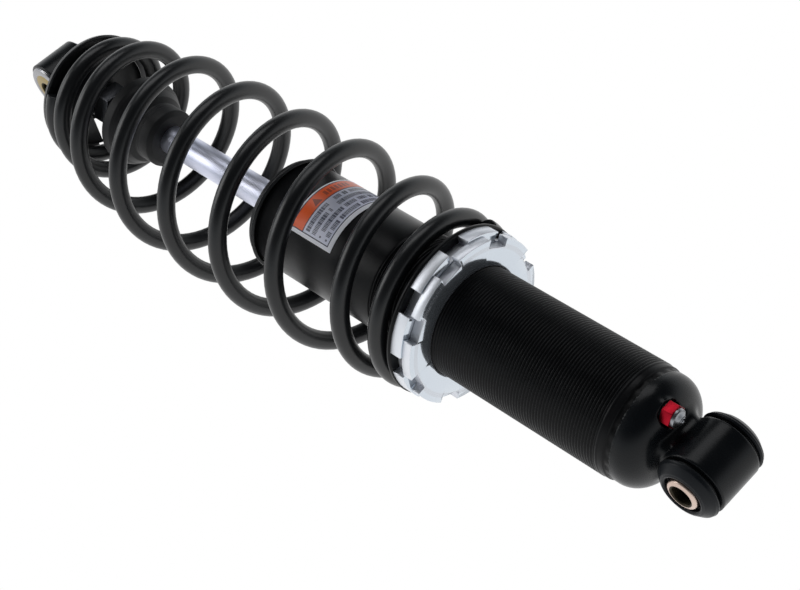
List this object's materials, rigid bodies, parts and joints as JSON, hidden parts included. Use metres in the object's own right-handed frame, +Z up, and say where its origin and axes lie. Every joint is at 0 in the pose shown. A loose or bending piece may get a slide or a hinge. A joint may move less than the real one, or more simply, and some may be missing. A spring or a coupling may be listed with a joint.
{
  "type": "coil-over strut assembly",
  "caption": "Coil-over strut: threaded gas damper with castellated preload rings, barrel spring, bump stop and a bushed eye at each end.",
  "frame": {"origin": "centre of the lower eye's bore", "axes": "+X along the strut to the upper eye, +Y along both eye bores, +Z up with the strut lying down"},
  "size_m": [0.4426, 0.0971, 0.097],
  "materials": {
    "tube_black": "satin black anodised, with a fine thread",
    "cap_black": "gloss black powder coat",
    "retainer_black": "satin black powder coat",
    "seat_black": "satin black coat",
    "spring_black": "satin black powder coat",
    "ring_aluminium": "satin, fine turned",
    "rod_chrome": "hard chrome, polished",
    "cup_black": "satin moulded",
    "bump_rubber": "moulded, satin",
    "bush_black": "moulded polyurethane, satin",
    "seal_rubber": "plain",
    "label_film": "printed film, white with an orange band",
    "valve_red": "red anodised",
    "valve_steel": "bright turned",
    "guide_aluminium": "machined",
    "bush_bronze": "fine turned bronze",
    "band_plastic": "plain",
    "zinc_steel": "zinc plated",
    "dark_steel": "dark oxide"
  },
  "bodies": {
    "cylinder": {"body_tube": "tube_black", "lower_end_cap": "cap_black", "lower_bush_left": "bush_black", "lower_bush_right": "bush_black", "gas_valve_body": "valve_red", "gas_valve_washer": "seal_rubber", "gas_valve_screw": "valve_steel", "end_cap_seal": "seal_rubber", "rod_guide": "guide_aluminium", "rod_guide_seal": "seal_rubber", "rod_guide_bush": "bush_bronze", "rod_seal": "seal_rubber", "rod_wiper": "seal_rubber", "snap_ring": "zinc_steel", "rod_end_cup": "cup_black", "body_label": "label_film", "spring": "spring_black"},
    "floating_piston": {"floating_piston": "guide_aluminium", "floating_piston_seal": "seal_rubber"},
    "spring_seat": {"spring_seat": "seat_black"},
    "adjuster_ring": {"adjuster_ring": "ring_aluminium"},
    "lock_ring": {"lock_ring": "ring_aluminium"},
    "spring_retainer": {"spring_retainer": "retainer_black"},
    "rod": {"piston_rod": "rod_chrome", "piston": "guide_aluminium", "piston_band": "band_plastic", "compression_shims": "zinc_steel", "rebound_shims": "zinc_steel", "piston_nut": "zinc_steel", "top_out_bumper": "seal_rubber", "bump_stop": "bump_rubber", "bump_washer": "seat_black", "rod_spacer": "seat_black", "jam_nut": "dark_steel", "upper_eye": "cap_black", "upper_bush_left": "zinc_steel", "upper_bush_right": "zinc_steel"},
    "lower_sleeve": {"lower_sleeve": "bush_bronze"},
    "upper_sleeve": {"upper_sleeve": "bush_bronze"}
  },
  "joints": [
    {"name": "strut_travel", "type": "slide", "parent": "cylinder", "child": "spring_retainer", "axis": [-1, 0, 0], "range_m": [0, 0.0825], "stiffness_N_per_m": 25000, "deforming": ["spring"]},
    {"name": "rod_swivel", "type": "hinge", "parent": "spring_retainer", "child": "rod", "pos_m": [0.3, 0, 0], "axis": [1, 0, 0], "continuous": true},
    {"name": "floating_piston_slide", "type": "slide", "parent": "cylinder", "child": "floating_piston", "axis": [-1, 0, 0], "range_m": [0, 0.0085]},
    {"name": "preload", "type": "slide", "parent": "cylinder", "child": "spring_seat", "axis": [1, 0, 0], "range_m": [-0.012, 0]},
    {"name": "adjuster_turn", "type": "hinge", "parent": "spring_seat", "child": "adjuster_ring", "pos_m": [0.1326, 0, 0], "axis": [1, 0, 0], "range_deg": [-2885, 0]},
    {"name": "lock_turn", "type": "hinge", "parent": "spring_seat", "child": "lock_ring", "pos_m": [0.127, 0, 0], "axis": [1, 0, 0], "range_deg": [-2885, 0]},
    {"name": "lower_eye_pivot", "type": "hinge", "parent": "cylinder", "child": "lower_sleeve", "pos_m": [0, 0, 0], "axis": [0, 1, 0], "range_deg": [-25, 25]},
    {"name": "upper_eye_pivot", "type": "hinge", "parent": "rod", "child": "upper_sleeve", "pos_m": [0.413, 0, 0], "axis": [0, 1, 0], "range_deg": [-25, 25]}
  ],
  "couplings": [
    {"joint": "floating_piston_slide", "follows": "strut_travel", "ratio": 0.09679},
    {"joint": "adjuster_turn", "follows": "preload", "rad_per_m": 4188.8},
    {"joint": "lock_turn", "follows": "preload", "rad_per_m": 4188.8}
  ]
}
